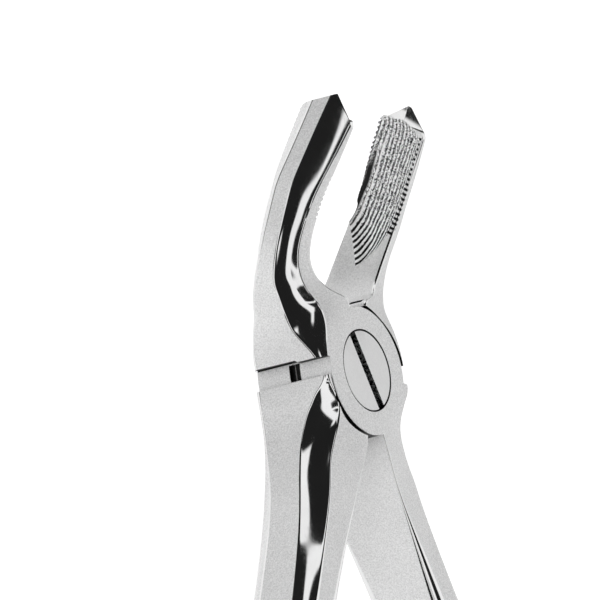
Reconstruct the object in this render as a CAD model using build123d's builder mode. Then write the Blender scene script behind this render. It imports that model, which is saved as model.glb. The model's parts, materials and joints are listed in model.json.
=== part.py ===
from build123d import *
from math import asin, cos, degrees, radians, sin, sqrt, tan
import os

os.makedirs("parts", exist_ok=True)

# The pivot axis is +Z, the beaks point along +Y and the part lies on z = 0.
# Each half is drawn closed, then turned open by rest_half_angle.

# Joint
joint_height = 11.3        # thickness of the two crossed halves together
joint_half_width = 8.95    # pivot to the flat outer side of the joint
disc_radius = 8.45         # round plate of each half
disc_gap = 0.25            # radial play between a plate and the other half's pocket
plate_gap = 0.12           # play between the two plates
step_gap = 0.12            # each half stops this far from the centre plane
plate_lap = 0.6            # a plate runs this far into its own half
rest_half_angle = 11.0     # each half is open by this much at rest
shoulder_angle = 18.3      # slope of the opening stops on a closed half

# Pivot screw
head_radius = 5.2
head_depth = 2.6
head_recess = 0.3
head_gap = 0.12
shank_radius = 3.1
shank_gap = 0.05
thread_radius = 2.4
slot_width = 1.35
slot_depth = 1.1
slot_turn = 116.0          # direction of the slot, from +X
end_chamfer = 0.3

# Beak, measured on a closed half
beak_length = 35.0         # pivot to tip, along Y
beak_rise = 12.2           # tip above the middle of the joint
beak_tilt = 34.0           # slope of the blade in side view
blade_width = 8.2          # height of the blade, across its biting face
blade_break = 0.35         # edge break along the lower edge of the flat side
bite_gap = 1.6             # tip to centre plane
bite_angle = 13.8          # slope of the biting face from the centre plane
gable_angle = 56.0         # each edge of the pointed tip, from the beak's axis
gable_round = 2.0          # radius of the shoulders behind the tip
scoop_length = 21.5        # hollow of the biting face, along the blade
scoop_start = 2.0          # tip to the hollow
scoop_lean = 8.3           # slope of the hollow's chord from the centre plane
scoop_radius = 30.0        # curve of the hollow along the blade
scoop_hollow = 9.6         # curve of the hollow across the blade
groove_count = 9
groove_pitch = 0.8
groove_depth = 0.16
tooth_count = 19
tooth_pitch = 0.72
tooth_depth = 0.3
tooth_start = 3.4          # tip to the first tooth of each edge
tooth_rim = 3.15           # middle of the face to the teeth
tooth_length = 0.65        # teeth of the upper edge, which stop inside its rim
facet_length = 2.4         # ridge behind the tip
facet_angle = 10.0         # slope of the two facets beside the ridge

# Handle
handle_height = 10.0
handle_width = 6.5
handle_length = 140.0      # pivot to handle end, along Y
handle_spread = 14.3       # centre plane to the widest place of the grip, inside
grip_start = 38.0          # pivot to the plain grip

mid = joint_height / 2
pocket_radius = disc_radius + disc_gap
tip_axis = Vector(0, cos(radians(beak_tilt)), sin(radians(beak_tilt)))
tip_up = Vector(0, -sin(radians(beak_tilt)), cos(radians(beak_tilt)))
tip_point = Vector(-bite_gap, beak_length, mid + beak_rise)


def slope(before, here, after):
    """Return a slope at one row that never overshoots its neighbours."""
    rise, run = here - before, after - here
    return 0 if rise * run <= 0 else 2 * rise * run / (rise + run)


def blend(before, start, end, after, t):
    """Return the value at t on a smooth curve from start to end."""
    leave, arrive = slope(before, start, end), slope(start, end, after)
    ease = t * t * (3 - 2 * t)
    return start + (end - start) * ease + leave * t * (1 - t) ** 2 - arrive * t * t * (1 - t)


def smooth(rows, steps):
    """Return the rows with smoothly blended rows added between each pair."""
    first = [2 * here - after for here, after in zip(rows[0], rows[1])]
    last = [2 * here - before for here, before in zip(rows[-1], rows[-2])]
    padded = [first, *rows, last]
    blended = []
    for group in zip(padded, padded[1:], padded[2:], padded[3:]):
        for step in range(steps):
            blended.append([blend(*values, step / steps) for values in zip(*group)])
    return blended + [rows[-1]]


def beak_section(y, z, tilt, width, inner, outer, edge, drop, high, low, low_edge, dish):
    """Return a beak section that hangs from the top edge of its biting face."""
    normal = Vector(0, cos(radians(tilt)), sin(radians(tilt)))
    across = Plane(origin=(0, y, z), x_dir=(-1, 0, 0), z_dir=normal)
    with BuildSketch(across) as drawn:
        with BuildLine():
            Polyline((inner, -width), (inner, 0), (edge, -drop))
            SagittaArc((edge, -drop), (outer, -high), -dish)
            Polyline(
                (outer, -high),
                (outer, blade_break - low),
                (outer - blade_break, -low),
                (low_edge, -width),
                (inner, -width),
            )
        make_face()
    return drawn.sketch.face()


def blade_row(back, width, side, edge, drop, high, low, dish):
    """Return a row of the straight blade at this distance behind the tip."""
    top = tip_point - tip_axis * back + tip_up * width / 2
    inner = bite_gap + back * tan(radians(bite_angle))
    return (
        top.Y, top.Z, beak_tilt, width, inner, inner + side,
        inner + edge, drop, high, low, inner + 0.2, dish,
    )


def face_gap(back):
    """Return how far the biting face is from the centre plane, this far behind the tip."""
    bend = max(0, back - 12) ** 2 * 0.021
    return bite_gap + back * tan(radians(bite_angle)) - bend


def face_point(back):
    """Return the middle of the biting face, this far behind the tip."""
    return tip_point - tip_axis * back + Vector(bite_gap - face_gap(back), 0, 0)


def scoop_profile():
    """Return the points of the hollow's profile, with its grooves."""
    points = [(scoop_radius - 6, -blade_width), (scoop_radius - 6, blade_width)]
    ridge = groove_count * groove_pitch / 2
    for height in (blade_width, 0.8 * blade_width, 0.6 * blade_width):
        if height > ridge:
            points.append((scoop_radius - height**2 / 2 / scoop_hollow, height))
    for step in range(2 * groove_count + 1):
        height = ridge - step * groove_pitch / 2
        groove = groove_depth * (step % 2)
        points.append((scoop_radius - height**2 / 2 / scoop_hollow + groove, height))
    for height in (0.6 * blade_width, 0.8 * blade_width, blade_width):
        if height > ridge:
            points.append((scoop_radius - height**2 / 2 / scoop_hollow, -height))
    return points


def comb_profile():
    """Return the zigzag of the teeth against the biting face, seen along it."""
    points = []
    for step in range(2 * tooth_count + 1):
        back = tooth_start + step * tooth_pitch / 2
        points.append((-back, face_gap(back) + tooth_depth * (step % 2)))
    return [(points[0][0], 0), *points, (points[-1][0], 0)]


def gable_start(half, edge):
    """Return where a straight edge of the tip meets its rounded shoulder."""
    reach = half / tan(radians(gable_angle))
    short = gable_round * tan(radians(gable_angle / 2))
    return (short * cos(radians(gable_angle)) - reach, edge * (half - short * sin(radians(gable_angle))))


def gable_end(half, edge):
    """Return where a rounded shoulder meets the straight edge of the blade."""
    reach = half / tan(radians(gable_angle))
    short = gable_round * tan(radians(gable_angle / 2))
    return (-reach - short, edge * half)


def plate_outline(side):
    """Return a joint plate, left out where its own half already fills it."""
    reach = 2 * disc_radius
    with BuildSketch() as drawn:
        Circle(disc_radius)
        for end in (1, -1):
            Polygon(
                (-side * end * plate_lap, end * disc_radius / 2),
                (-side * end * plate_lap, end * reach),
                (-side * end * reach, end * reach),
                (-side * end * reach, end * disc_radius / 2),
                rotation=side * rest_half_angle,
                align=None,
                mode=Mode.SUBTRACT,
            )
    return drawn.sketch.face()


def handle_section(y, inner, outer, edge, low_edge, top, drop, high, low, bottom, dish, corner):
    """Return a handle section across Y, with its corners round or hollow."""
    bulge = corner * (1 - cos(radians(45)))
    with BuildSketch(Plane(origin=(0, y, 0), x_dir=(1, 0, 0), z_dir=(0, -1, 0))) as drawn:
        with BuildLine():
            Line((inner, bottom + corner), (inner, top - corner))
            SagittaArc((inner, top - corner), (inner + corner, top), bulge)
            Line((inner + corner, top), (edge, top - drop))
            SagittaArc((edge, top - drop), (outer, high), -dish)
            Line((outer, high), (outer, low))
            SagittaArc((outer, low), (low_edge, bottom), -dish * (outer - low_edge) / 2)
            Line((low_edge, bottom), (inner + corner, bottom))
            SagittaArc((inner + corner, bottom), (inner, bottom + corner), bulge)
        make_face()
    return drawn.sketch.face()


def grip_row(y, inner, inset):
    """Return a row of the plain grip, whose corners are round."""
    outer = inner + handle_width - inset
    return (
        y, inner + inset, outer, outer - 2 + inset / 2, outer - 2 + inset / 2,
        handle_height - inset, 0, handle_height - 2.3 - inset / 2, 2.3 + inset / 2, inset,
        inset / 4 - 0.6, 1.8 - inset / 2,
    )


# y, top, tilt, width, inner, outer, edge, drop, high, low, low edge, flute depth
full = joint_height
beak_rows = [
    (0.4, full, 0, full, step_gap, joint_half_width, joint_half_width - 0.1, 0, 0.5, full - 0.2, 8.5, 0.02),
    (2.9, full, 0, full, step_gap, joint_half_width - 0.2, 8.5, 0, 1.5, full - 0.2, 8.3, 0.12),
    (4.8, full, 0, full, step_gap, 8.5, 7.9, 0, 2.7, full - 0.2, 8.0, 0.3),
    (6.5, full, 0, full, step_gap, 8.3, 7.05, 0.05, 4.0, full - 0.4, 7.2, 0.45),
    (8.2, full, 0, full, step_gap, 8.25, 6.4, 0.4, 4.6, full - 0.9, 5.6, 0.55),
    (9.6, full - 0.05, 0, full - 0.15, step_gap, 8.4, 6.1, 0.85, 4.7, full - 1.6, 4.6, 0.55),
    (10.8, full - 0.5, 2, 10.2, 2.6, 8.6, 6.5, 0.95, 4.3, 8.8, 4.4, 0.5),
    (12.0, full - 1.0, 5, 9.0, 3.5, 8.85, 6.95, 0.75, 3.8, 7.8, 4.6, 0.5),
    (13.2, full - 1.27, 9, 8.1, 4.3, 9.0, 7.15, 0.65, 3.6, 6.8, 5.2, 0.5),
    (15.0, full - 1.1, 16, 7.8, 5.1, 9.15, 7.45, 0.65, 3.0, 5.9, 5.4, 0.5),
    (17.0, full - 0.35, 23, 7.5, 5.33, 9.05, 7.38, 0.72, 2.85, 5.5, 5.6, 0.5),
    (19.0, full + 0.7, 29, 7.45, 5.25, 8.65, 7.2, 0.65, 2.9, 5.55, 5.5, 0.5),
    (21.0, full + 1.9, 32, 7.55, 4.9, 8.05, 6.8, 0.58, 3.2, 5.87, 5.1, 0.48),
    blade_row(12, 7.75, 3.0, 1.7, 0.6, 3.5, 6.1, 0.45),
    blade_row(9, 8.0, 2.65, 1.45, 0.45, 3.7, 6.25, 0.4),
    blade_row(5, blade_width, 1.9, 1.05, 0.35, 4.1, 6.6, 0.3),
    blade_row(0, blade_width, 0.75, 0.45, 0.25, 4.4, 7.1, 0.08),
]

# y, inner, outer, edge, low edge, top, drop, high, low, bottom, flute depth, corner
handle_rows = [
    (-0.5, step_gap, joint_half_width + 0.25, 9.1, 9.0, full, 0, full - 0.4, 0.4, 0, 0.02, 0.1),
    (-2.9, step_gap, joint_half_width + 0.05, 8.9, 8.7, full, 0, full - 0.4, 0.55, 0, 0.02, 0.1),
    (-4.0, step_gap, 8.85, 8.5, 8.4, full, 0, 10.3, 0.6, 0, 0.1, 0.1),
    (-5.0, step_gap, 8.7, 7.3, 8.2, full, 0, 9.2, 0.6, 0, 0.3, 0.1),
    (-6.0, step_gap, 8.5, 6.5, 7.9, full, 0.1, 8.5, 0.6, 0, 0.45, 0.1),
    (-7.0, step_gap, 8.3, 5.95, 7.7, full, 0.4, 7.7, 0.65, 0, 0.5, 0.1),
    (-8.5, step_gap, 8.1, 5.75, 7.4, full, 0.8, 7.05, 0.7, 0, 0.55, 0.1),
    (-10.5, 0.35, 7.95, 6.15, 7.2, full - 0.05, 1.15, 6.35, 0.8, 0, 0.5, 0.1),
    (-12.5, 0.8, 8.1, 6.6, 7.2, full - 0.3, 1.15, 6.15, 1.0, 0, 0.5, 0.12),
    (-15, 1.4, 8.4, 7.1, 7.4, full - 0.6, 0.75, 6.2, 1.4, 0, 0.45, 0.2),
    (-18, 2.2, 8.95, 7.35, 7.7, full - 0.8, 0.5, 6.5, 1.8, 0, 0.35, 0.3),
    (-24, 3.9, 10.4, 8.6, 8.7, full - 1.0, 0.3, 7.2, 2.3, 0, 0.1, 0.8),
    grip_row(-grip_start, 7.5, 0),
    grip_row(-0.415 * handle_length, handle_spread - 2.1, 0),
    grip_row(-0.57 * handle_length, handle_spread, 0),
    grip_row(-0.74 * handle_length, handle_spread - 1.1, 0),
    grip_row(-0.885 * handle_length, handle_spread - 3.7, 0),
    grip_row(4 - handle_length, handle_spread - 5.1, 0),
    grip_row(1 - handle_length, handle_spread - 5.3, 0.8),
    grip_row(-handle_length, handle_spread - 5.3, 2.2),
]

# Seen from above, the opening stops of a closed half lie on one line through the pivot.
shoulders = Plane(origin=(0, 0, 0), x_dir=(cos(radians(shoulder_angle)), -sin(radians(shoulder_angle)), 0))
gable = Plane(origin=tip_point, x_dir=tip_axis, z_dir=(1, 0, 0))

bite_along = tip_axis * cos(radians(bite_angle)) + Vector(sin(radians(bite_angle)), 0, 0)
ridge_end = tip_point - bite_along * facet_length

# The hollow of the biting face is turned about an axis in front of it.
lean = radians(scoop_lean)
scoop_chord = tip_axis * -cos(lean) - Vector(sin(lean), 0, 0)
scoop_out = tip_axis * sin(lean) - Vector(cos(lean), 0, 0)
scoop_sink = scoop_radius - sqrt(scoop_radius**2 - (scoop_length / 2) ** 2)
scoop_centre = (
    face_point(scoop_start) + scoop_chord * scoop_length / 2 - scoop_out * (scoop_radius - scoop_sink)
)
sweep = 1.2 * degrees(asin(scoop_length / 2 / scoop_radius))
scoop_side = scoop_out * cos(radians(sweep)) - scoop_chord * sin(radians(sweep))

with BuildPart() as front:
    loft([beak_section(*row) for row in smooth(beak_rows, 2)], ruled=True)
    # The tip is a gable with rounded shoulders.
    half = blade_width / 2 + 0.05
    for edge in (1, -1):
        with BuildSketch(gable):
            with BuildLine():
                Line((1, 0), (0, 0))
                Line((0, 0), gable_start(half, edge))
                RadiusArc(gable_start(half, edge), gable_end(half, edge), -edge * gable_round)
                Polyline(
                    gable_end(half, edge),
                    (gable_end(half, edge)[0], edge * 2 * half),
                    (1, edge * 2 * half),
                    (1, 0),
                )
            make_face()
        extrude(amount=2 * joint_half_width, both=True, mode=Mode.SUBTRACT)
    # Hollow of the biting face, with grooves along it.
    with BuildSketch(Plane(origin=scoop_centre, x_dir=scoop_side, z_dir=scoop_side.cross(tip_up))):
        Polygon(*scoop_profile(), align=None)
    revolve(axis=Axis(scoop_centre, tip_up), revolution_arc=2 * sweep, mode=Mode.SUBTRACT)
    # Teeth along both edges of the hollow.
    for edge in (1, -1):
        rim = tip_point + Vector(bite_gap, 0, 0) + tip_up * edge * tooth_rim
        with BuildSketch(Plane(origin=rim, x_dir=tip_axis, z_dir=tip_up * edge)):
            Polygon(*[(x, edge * y) for x, y in comb_profile()], align=None)
        extrude(amount=tooth_length if edge == 1 else blade_width, mode=Mode.SUBTRACT)
    # Two small facets meet in a ridge behind the tip.
    for edge in (1, -1):
        with BuildSketch(Plane(origin=ridge_end, x_dir=tip_up * edge, z_dir=bite_along * edge)):
            drop = blade_width * tan(radians(facet_angle))
            Polygon((0, 0), (blade_width, -drop), (blade_width, 1), (0, 1), align=None)
        extrude(amount=edge * (facet_length + 1), mode=Mode.SUBTRACT)
    with BuildSketch(shoulders):
        Rectangle(4 * joint_half_width, 4 * joint_half_width, align=(Align.CENTER, Align.MAX))
    extrude(amount=3 * joint_height, both=True, mode=Mode.SUBTRACT)

with BuildPart() as rear:
    loft([handle_section(*row) for row in smooth(handle_rows, 2)], ruled=True)
    with BuildSketch(shoulders):
        Rectangle(4 * joint_half_width, 4 * joint_half_width, align=(Align.CENTER, Align.MIN))
    extrude(amount=3 * joint_height, both=True, mode=Mode.SUBTRACT)

with BuildPart() as upper_half:
    add(front.part, rotation=(0, 0, rest_half_angle))
    add(rear.part, rotation=(0, 0, rest_half_angle))
    with BuildSketch():
        Circle(pocket_radius)
    extrude(amount=mid + plate_gap / 2, mode=Mode.SUBTRACT)
    with BuildSketch(Plane.XY.offset(mid + plate_gap / 2)):
        add(plate_outline(1))
    extrude(amount=mid - plate_gap / 2)
    with BuildSketch():
        Circle(shank_radius + shank_gap)
    extrude(amount=joint_height, mode=Mode.SUBTRACT)
    with BuildSketch(Plane.XY.offset(joint_height)):
        Circle(head_radius + head_gap)
    extrude(amount=-head_depth, mode=Mode.SUBTRACT)

with BuildPart() as lower_half:
    add(front.part, rotation=(0, 0, rest_half_angle))
    add(rear.part, rotation=(0, 0, rest_half_angle))
    mirror(about=Plane.YZ, mode=Mode.REPLACE)
    with BuildSketch(Plane.XY.offset(mid - plate_gap / 2)):
        Circle(pocket_radius)
    extrude(amount=joint_height, mode=Mode.SUBTRACT)
    with BuildSketch():
        add(plate_outline(-1))
    extrude(amount=mid - plate_gap / 2)
    with BuildSketch():
        Circle(thread_radius)
    extrude(amount=joint_height, mode=Mode.SUBTRACT)

with BuildPart() as joint_screw:
    with BuildSketch():
        Circle(thread_radius)
    extrude(amount=mid)
    with BuildSketch(Plane.XY.offset(mid - plate_gap / 2)):
        Circle(shank_radius)
    extrude(amount=mid - head_recess)
    with BuildSketch(Plane.XY.offset(joint_height - head_depth + shank_gap)):
        Circle(head_radius)
    extrude(amount=head_depth - head_recess - shank_gap)
    chamfer(joint_screw.edges().sort_by(Axis.Z)[0], end_chamfer)
    with BuildSketch(Plane.XY.offset(joint_height - head_recess)):
        Rectangle(3 * head_radius, slot_width, rotation=slot_turn)
    extrude(amount=-slot_depth, mode=Mode.SUBTRACT)

for piece, name in (
    (upper_half, "upper_half"),
    (lower_half, "lower_half"),
    (joint_screw, "joint_screw"),
):
    piece.part.label = name
    export_step(piece.part, f"parts/{name}.step")
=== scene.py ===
import bmesh
import bpy
import json
import math
from mathutils import Matrix, Vector
from mathutils.bvhtree import BVHTree

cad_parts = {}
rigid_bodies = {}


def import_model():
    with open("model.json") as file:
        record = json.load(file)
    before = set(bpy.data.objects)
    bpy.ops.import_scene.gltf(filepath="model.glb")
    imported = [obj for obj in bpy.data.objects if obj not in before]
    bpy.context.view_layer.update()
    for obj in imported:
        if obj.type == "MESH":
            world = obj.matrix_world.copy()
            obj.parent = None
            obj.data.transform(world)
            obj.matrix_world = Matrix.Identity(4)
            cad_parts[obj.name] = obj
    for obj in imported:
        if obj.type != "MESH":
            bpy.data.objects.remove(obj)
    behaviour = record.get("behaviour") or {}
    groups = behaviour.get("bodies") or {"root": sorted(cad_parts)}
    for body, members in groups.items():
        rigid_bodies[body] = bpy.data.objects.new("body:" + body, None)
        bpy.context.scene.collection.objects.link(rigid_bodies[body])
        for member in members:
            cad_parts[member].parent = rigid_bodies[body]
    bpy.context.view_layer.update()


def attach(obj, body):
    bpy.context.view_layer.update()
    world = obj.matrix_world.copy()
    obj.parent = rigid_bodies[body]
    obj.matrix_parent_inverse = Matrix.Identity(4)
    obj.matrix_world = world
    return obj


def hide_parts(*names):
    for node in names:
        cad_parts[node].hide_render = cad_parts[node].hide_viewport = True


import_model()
scene = bpy.context.scene
print("frame loaded")


class Value:
    # wraps a socket, so that shader maths reads as plain sums
    def __init__(self, tree, socket):
        self.tree, self.socket = tree, socket

    def math(self, operation, *values):
        node = self.tree.nodes.new("ShaderNodeMath")
        node.operation = operation
        for place, value in zip(node.inputs, values):
            plug(self.tree, place, value)
        return Value(self.tree, node.outputs[0])

    def __add__(self, other): return self.math("ADD", self, other)
    def __radd__(self, other): return self.math("ADD", other, self)
    def __sub__(self, other): return self.math("SUBTRACT", self, other)
    def __rsub__(self, other): return self.math("SUBTRACT", other, self)
    def __mul__(self, other): return self.math("MULTIPLY", self, other)
    def __rmul__(self, other): return self.math("MULTIPLY", other, self)
    def __truediv__(self, other): return self.math("DIVIDE", self, other)
    def __rtruediv__(self, other): return self.math("DIVIDE", other, self)
    def least(self, other): return self.math("MINIMUM", self, other)
    def clamp(self): return self.math("MAXIMUM", self, 0.0).least(1.0)
    def away(self, centre): return self.math("ABSOLUTE", self - centre)
    def rise(self, start, end): return ((self - start) * (1 / (end - start))).clamp()  # from 0 to 1


def plug(tree, socket, value):
    if isinstance(value, Value):
        tree.links.new(value.socket, socket)
    else:
        socket.default_value = value


class Nodes:
    # fills a node tree: a node's kind, its settings, then the values or links of its sockets
    def __init__(self, tree):
        self.tree = tree

    def add(self, kind, settings=None, out=0, **sockets):
        node = self.tree.nodes.new(kind)
        for key, value in (settings or {}).items():
            setattr(node, key, value)
        for key, value in sockets.items():
            place = int(key[1:]) if key[1:].isdigit() else key.replace("_", " ")  # i6 is the socket of that number
            plug(self.tree, node.inputs[place], value)
        return Value(self.tree, node.outputs[out])

    def split(self, vector):
        node = self.add("ShaderNodeSeparateXYZ", Vector=vector).socket.node
        return [Value(self.tree, output) for output in node.outputs]


class Finish(Nodes):
    # one material and the nodes that feed it
    def __init__(self, name, metal):
        self.material = bpy.data.materials.new(name)
        self.material.use_nodes = True
        super().__init__(self.material.node_tree)
        self.shader = self.tree.nodes["Principled BSDF"]
        self.shader.inputs["Metallic"].default_value = metal
        self.place = self.add("ShaderNodeTexCoord", out="Object")

    def noise(self, scale, detail, rough, stretch=(1, 1, 1), place=None):
        place = self.add("ShaderNodeMapping", Vector=place or self.place, Scale=stretch)
        return self.add("ShaderNodeTexNoise", Vector=place, Scale=scale, Detail=detail, Roughness=rough)

    def grey(self, low, high, share):
        ends = {"i6": (low, low, low, 1), "i7": (high, high, high, 1)}
        return self.add("ShaderNodeMix", {"data_type": "RGBA"}, out=2, i0=share, **ends)

    def bump(self, height, strength, depth):
        return self.add("ShaderNodeBump", Height=height, Strength=strength, Distance=depth)

    def feed(self, tint, roughness, normal):
        for socket, value in (("Base Color", tint), ("Roughness", roughness), ("Normal", normal)):
            plug(self.tree, self.shader.inputs[socket], value)
        return self.material


grainScale = 5200.0  # the blasted grain of the satin faces, in features to the metre
satinSteel = {
    "metal": 0.4,
    "tint": 0.74,
    "spread": 0.16,
    "grainContrast": 2.4,
    "cloudScale": 90.0,
    "cloudContrast": 0.4,
    "brushScale": 900.0,
    "brushStretch": (1, 0.08, 1),
    "roughness": 0.42,
    "grainRoughness": 0.14,
    "brushRoughness": 0.16,
    "bump": 0.25,
    "depth": 0.00002,
}
polishedSteel = {
    "dark": 0.76,
    "light": 0.91,
    "cloudScale": 240.0,
    "scuffScale": 2600.0,
    "scuffStretch": (1, 0.25, 1),
    "roughness": 0.05,
    "cloudRoughness": 0.05,
    "scuffRoughness": 0.22,
    "scuffFrom": 0.45,
    "bump": 0.06,
    "depth": 0.00001,
}
# the bands of the hollow are set out in millimetres, back from the tip and across the grooves
groovedSteel = {
    "metal": 0.35,
    "dark": 0.005,
    "light": 0.98,
    "share": 0.46,
    "contrast": 1.5,
    "streaks": (0.35, 1.6, 0.0),
    "streakScale": 3.2,
    "calm": (12.5, 18.75),
    # groove: how much the colour darkens deep in each groove, painted shade
    "groove": (2.1, 2.2),  # at the tip, and what is added towards the root, as in the next two
    "grit": (6.0, -4.0),
    "speck": (13.0, -9.0),
    # a dark band along the lower edge of the hollow: painted shade
    "shadeBandLine": -3.4,
    "shadeBandFrom": (6.0, 10.0),
    "shadeBandWidth": (1.3, 2.2),
    "shadeBandStrength": 1.3,
    # a light band beside the dark band: painted highlight
    "paintedHighlightLine": -2.55,
    "paintedHighlightFrom": (4.0, 6.0),
    "paintedHighlightUntil": (19.0, 17.0),
    "paintedHighlightWidth": (1.0, 5.0),
    "paintedHighlightStrength": 1.6,
    "roughness": 0.3,
    "speckRoughness": 0.2,
    "calmRoughness": 0.1,
    "bump": 0.35,
    "depth": 0.00003,
}
# near-black steel, painted shade: it goes in notches, pockets, bores, recesses and narrow gaps
notchShadeSteel = {
    "scale": 3000.0,
    "dark": 0.01,
    "light": 0.05,
    "roughness": 0.4,
    "gritRoughness": 0.2,
    "bump": 0.2,
    "depth": 0.00002,
}
brightSteel = {
    "scale": 3200.0,
    "dark": 0.6,
    "light": 0.85,
    "roughness": 0.14,
    "gritRoughness": 0.2,
    "bump": 0.15,
    "depth": 0.00002,
}
screwSteel = {
    "dark": 0.58,
    "light": 0.9,
    "grainContrast": 0.5,
    "cloudScale": 160.0,
    "cloudContrast": 0.3,
    "roughness": 0.34,
}
# the slot and the side of the screw's head: painted shade with light speckles
slotShadeSteel = {
    "scale": 2400.0,
    "dark": 0.02,
    "light": 0.7,
    "share": 0.3,
    "contrast": 9.0,
    "roughness": 0.3,
    "speckRoughness": 0.3,
    "bump": 0.6,
    "depth": 0.00005,
}


def satinFinish(look):
    finish = Finish("satinSteel", look["metal"])
    grain = finish.noise(grainScale, 2.0, 0.7)
    cloud = finish.noise(look["cloudScale"], 3.0, 0.5)
    brushed = finish.noise(look["brushScale"], 3.0, 0.6, look["brushStretch"])
    share = (grain - 0.5) * look["grainContrast"] + (cloud - 0.5) * look["cloudContrast"] + 0.5
    rough = (brushed - 0.5) * look["brushRoughness"] + (grain - 0.5) * look["grainRoughness"] + look["roughness"]
    return finish.feed(
        finish.grey(look["tint"] - look["spread"], look["tint"] + look["spread"], share.clamp()),
        rough,
        finish.bump(grain * 0.6 + brushed * 0.4, look["bump"], look["depth"]),
    )


def polishedFinish(look):
    finish = Finish("polishedSteel", 1.0)
    scuff = finish.noise(look["scuffScale"], 4.0, 0.7, look["scuffStretch"])
    cloud = finish.noise(look["cloudScale"], 2.0, 0.5)
    scuffed = (scuff - look["scuffFrom"]).clamp() * look["scuffRoughness"]
    return finish.feed(
        finish.grey(look["dark"], look["light"], cloud),
        scuffed + cloud * look["cloudRoughness"] + look["roughness"],
        finish.bump(scuff, look["bump"], look["depth"]),
    )


def groovedFinish(look):
    # the blade attribute holds the place along and across the blade, in millimetres, and how deep in a groove it is
    finish = Finish("groovedSteel", look["metal"])
    blade = finish.add("ShaderNodeAttribute", {"attribute_name": "blade"}, out="Vector")
    back, line, wave = finish.split(blade)
    grit = finish.noise(look["streakScale"], 4.0, 0.75, look["streaks"], blade)
    speck = finish.noise(grainScale, 2.0, 0.8)
    calm = back.rise(*look["calm"])  # the speckle is strong near the tip, and the grooves are clear towards the root

    def weight(name):
        first, change = look[name]
        return calm * change + first

    def band(name):
        top, fall = look[name + "Width"]
        return (top - line.away(look[name + "Line"]) * fall).clamp() * back.rise(*look[name + "From"])

    ragged = (grit - 0.5) * weight("grit") + (speck - 0.5) * weight("speck")
    # the colour darkens deep in a groove: painted shade; grit and speck are the steel's own tone
    share = (((0.5 - wave) * weight("groove") + ragged) * look["contrast"] + look["share"]).clamp()
    # painted shade: a dark band along the lower edge of the hollow
    shadeBand = band("shadeBand")
    # painted highlight: a light band beside the shade band
    paintedHighlight = band("paintedHighlight") * back.rise(*look["paintedHighlightUntil"])
    share = (share * (1 - shadeBand * look["shadeBandStrength"]).clamp() + paintedHighlight * look["paintedHighlightStrength"]).clamp()
    return finish.feed(
        finish.grey(look["dark"], look["light"], share),
        speck * look["speckRoughness"] - calm * look["calmRoughness"] + look["roughness"],
        finish.bump(speck + grit, look["bump"], look["depth"]),
    )


def cutFinish(name, look):
    finish = Finish(name, 1.0)
    grit = finish.noise(look["scale"], 3.0, 0.6)
    return finish.feed(
        finish.grey(look["dark"], look["light"], grit),
        grit * look["gritRoughness"] + look["roughness"],
        finish.bump(grit, look["bump"], look["depth"]),
    )


def screwFinish(look):
    finish = Finish("screwSteel", satinSteel["metal"])
    grain = finish.noise(grainScale, 2.0, 0.7)
    cloud = finish.noise(look["cloudScale"], 3.0, 0.5)
    share = (grain - 0.5) * look["grainContrast"] + (cloud - 0.5) * look["cloudContrast"] + 0.5
    return finish.feed(
        finish.grey(look["dark"], look["light"], share.clamp()),
        (grain - 0.5) * satinSteel["grainRoughness"] + look["roughness"],
        finish.bump(grain, satinSteel["bump"], satinSteel["depth"]),
    )


def slotShadeFinish(look):
    finish = Finish("wornSlotSteel", 1.0)
    speck = finish.noise(look["scale"], 4.0, 0.8)
    return finish.feed(
        finish.grey(look["dark"], look["light"], ((speck - 0.5) * look["contrast"] + look["share"]).clamp()),
        speck * look["speckRoughness"] + look["roughness"],
        finish.bump(speck, look["bump"], look["depth"]),
    )


halfFinishes = [
    satinFinish(satinSteel),
    polishedFinish(polishedSteel),
    groovedFinish(groovedSteel),
    cutFinish("brightCutSteel", brightSteel),
    cutFinish("shadedNotchSteel", notchShadeSteel),
]
screwFinishes = [screwFinish(screwSteel), slotShadeFinish(slotShadeSteel)]
# the fifth finish, near black, is painted shade
satin, polished, grooved, bright, paintedShade = range(5)
screwFace, screwShade = range(2)
print("finishes made")


# Lengths are in millimetres until a piece is finished. The pivot is +Z, the beaks point along +Y,
# and both halves are drawn closed, then turned open.
beyond = 20.0  # cutters reach this far, well past the part
rimBand = 0.05  # a face whose centre is this near to a round's radius is on its rim

joint = {
    "height": 11.3,
    "discRadius": 8.45,
    "discGap": 0.4,
    "plateGap": 0.12,
    "stepGap": 0.12,
    "plateLap": 0.6,
    "restHalfAngle": 11.0,
    "shoulderAngle": 18.3,
    "discEdge": 0.16,
    "shadedRimFrom": 0.16,
}
joint["mid"] = joint["height"] / 2


def slope(before, here, after):
    rise, run = here - before, after - here
    return 0 if rise * run <= 0 else 2 * rise * run / (rise + run)


def between(before, start, end, after, t):
    leave, arrive = slope(before, start, end), slope(start, end, after)
    ease = t * t * (3 - 2 * t)
    return start + (end - start) * ease + leave * t * (1 - t) ** 2 - arrive * t * t * (1 - t)


def smoothRows(rows, steps):
    # rows with smoothly blended rows added between each pair
    first = [2 * here - after for here, after in zip(rows[0], rows[1])]
    last = [2 * here - before for here, before in zip(rows[-1], rows[-2])]
    padded = [first, *rows, last]
    blended = []
    for group in zip(padded, padded[1:], padded[2:], padded[3:]):
        for step in range(steps):
            blended.append([between(*values, step / steps) for values in zip(*group)])
    return blended + [list(rows[-1])]


def calmRows(rows, passes):
    # evens out small changes of pace from row to row, with both ends held
    for _ in range(passes):
        inner = [
            [a * 0.25 + b * 0.5 + c * 0.25 for a, b, c in zip(*group)]
            for group in zip(rows, rows[1:], rows[2:])
        ]
        rows = [rows[0], *inner, rows[-1]]
    return rows


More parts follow.
